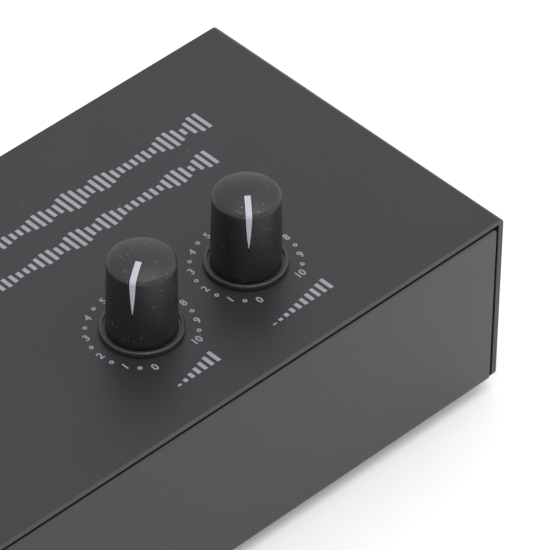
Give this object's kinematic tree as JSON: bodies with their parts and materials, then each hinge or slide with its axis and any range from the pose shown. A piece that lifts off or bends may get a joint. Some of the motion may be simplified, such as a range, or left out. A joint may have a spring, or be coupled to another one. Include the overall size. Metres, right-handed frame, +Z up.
{
  "type": "phono preamp",
  "caption": "Small black sheet-metal phono preamp with rubber dial knobs on its top face and jacks, a power inlet, a rocker switch and a ground post at the rear.",
  "frame": {"origin": "bottom centre of the whole object's box, on the surface that the feet stand on", "axes": "+X to the right along the front panel, +Y from the front panel to the jacks, +Z up"},
  "size_m": [0.1336, 0.0854, 0.0596],
  "materials": {
    "black_paint": "fine satin black powder coat",
    "black_screw": "black oxide",
    "foot_rubber": "matt black rubber",
    "zinc": "zinc plate",
    "board": "green solder mask",
    "grip_rubber": "soft-touch matt black rubber",
    "core_plastic": "satin black moulding",
    "pointer_white": "satin white moulding",
    "shaft_metal": "turned",
    "wiper_plastic": "natural moulding",
    "can_steel": "pressed and plated",
    "phenolic": "brown phenolic",
    "jack_plastic": "fine matt moulding",
    "nickel": "nickel plate",
    "jack_red": "gloss moulding",
    "jack_white": "gloss moulding",
    "rocker_plastic": "satin black moulding",
    "tinned_steel": "tin plate",
    "gold_brass": "gold flash on brass",
    "capacitor_sleeve": "shrink sleeve",
    "film_box": "moulded box",
    "resistor_body": "lacquer"
  },
  "bodies": {
    "chassis": {"top_cover": "black_paint", "base_tray": "black_paint", "cover_screws": "black_screw", "rubber_feet": "foot_rubber", "board_standoffs": "zinc", "board_screws": "zinc", "level_pot_bushing": "zinc", "volume_pot_bushing": "zinc", "level_pot_pins": "zinc", "volume_pot_pins": "zinc", "switch_terminals": "zinc", "circuit_board": "board", "level_pot_can": "can_steel", "volume_pot_can": "can_steel", "level_pot_wafer": "phenolic", "volume_pot_wafer": "phenolic", "input_jack_housing": "jack_plastic", "output_jack_housing": "jack_plastic", "phone_jack_body": "jack_plastic", "dc_inlet_body": "jack_plastic", "switch_housing": "jack_plastic", "op_amps": "jack_plastic", "voltage_regulator": "jack_plastic", "input_jack_shells": "nickel", "output_jack_shells": "nickel", "phone_jack_bushing": "nickel", "phone_jack_washer": "nickel", "phone_jack_nut": "nickel", "dc_inlet_pin": "nickel", "dc_inlet_leaf": "nickel", "phone_jack_contacts": "nickel", "input_jack_contacts": "nickel", "output_jack_contacts": "nickel", "input_jack_red_insulator": "jack_red", "output_jack_red_insulator": "jack_red", "input_jack_white_insulator": "jack_white", "output_jack_white_insulator": "jack_white", "ground_bracket": "tinned_steel", "ground_stud": "tinned_steel", "ground_lock_nut": "tinned_steel", "electrolytic_capacitors": "capacitor_sleeve", "filter_capacitor": "capacitor_sleeve", "film_capacitors": "film_box", "resistors": "resistor_body"},
    "level_knob": {"level_knob_grip": "grip_rubber", "level_knob_core": "core_plastic", "level_knob_pointer": "pointer_white", "level_pot_shaft": "shaft_metal", "level_pot_wiper": "wiper_plastic"},
    "volume_knob": {"volume_knob_grip": "grip_rubber", "volume_knob_core": "core_plastic", "volume_knob_pointer": "pointer_white", "volume_pot_shaft": "shaft_metal", "volume_pot_wiper": "wiper_plastic"},
    "power_rocker": {"switch_rocker": "rocker_plastic", "switch_bridge": "nickel"},
    "post_washer": {"ground_washer": "tinned_steel"},
    "post_nut": {"ground_thumb_nut": "gold_brass"}
  },
  "joints": [
    {"name": "level_turn", "type": "hinge", "parent": "chassis", "child": "level_knob", "pos_m": [-0.0025, -0.0198, 0.0419], "axis": [0, 0, -1], "range_deg": [-28, 272]},
    {"name": "volume_turn", "type": "hinge", "parent": "chassis", "child": "volume_knob", "pos_m": [0.0228, -0.0198, 0.0419], "axis": [0, 0, -1], "range_deg": [-10, 290]},
    {"name": "power_rock", "type": "hinge", "parent": "chassis", "child": "power_rocker", "pos_m": [0.052, 0.0291, 0.018], "axis": [1, 0, 0], "range_deg": [0, 22]},
    {"name": "post_travel", "type": "slide", "parent": "chassis", "child": "post_washer", "axis": [0, 1, 0], "range_m": [0, 0.0021]},
    {"name": "post_unscrew", "type": "hinge", "parent": "post_washer", "child": "post_nut", "pos_m": [-0.052, 0.0367, 0.0194], "axis": [0, 1, 0], "range_deg": [0, 1080]}
  ],
  "couplings": [
    {"joint": "post_unscrew", "follows": "post_travel", "rad_per_m": 8976}
  ]
}
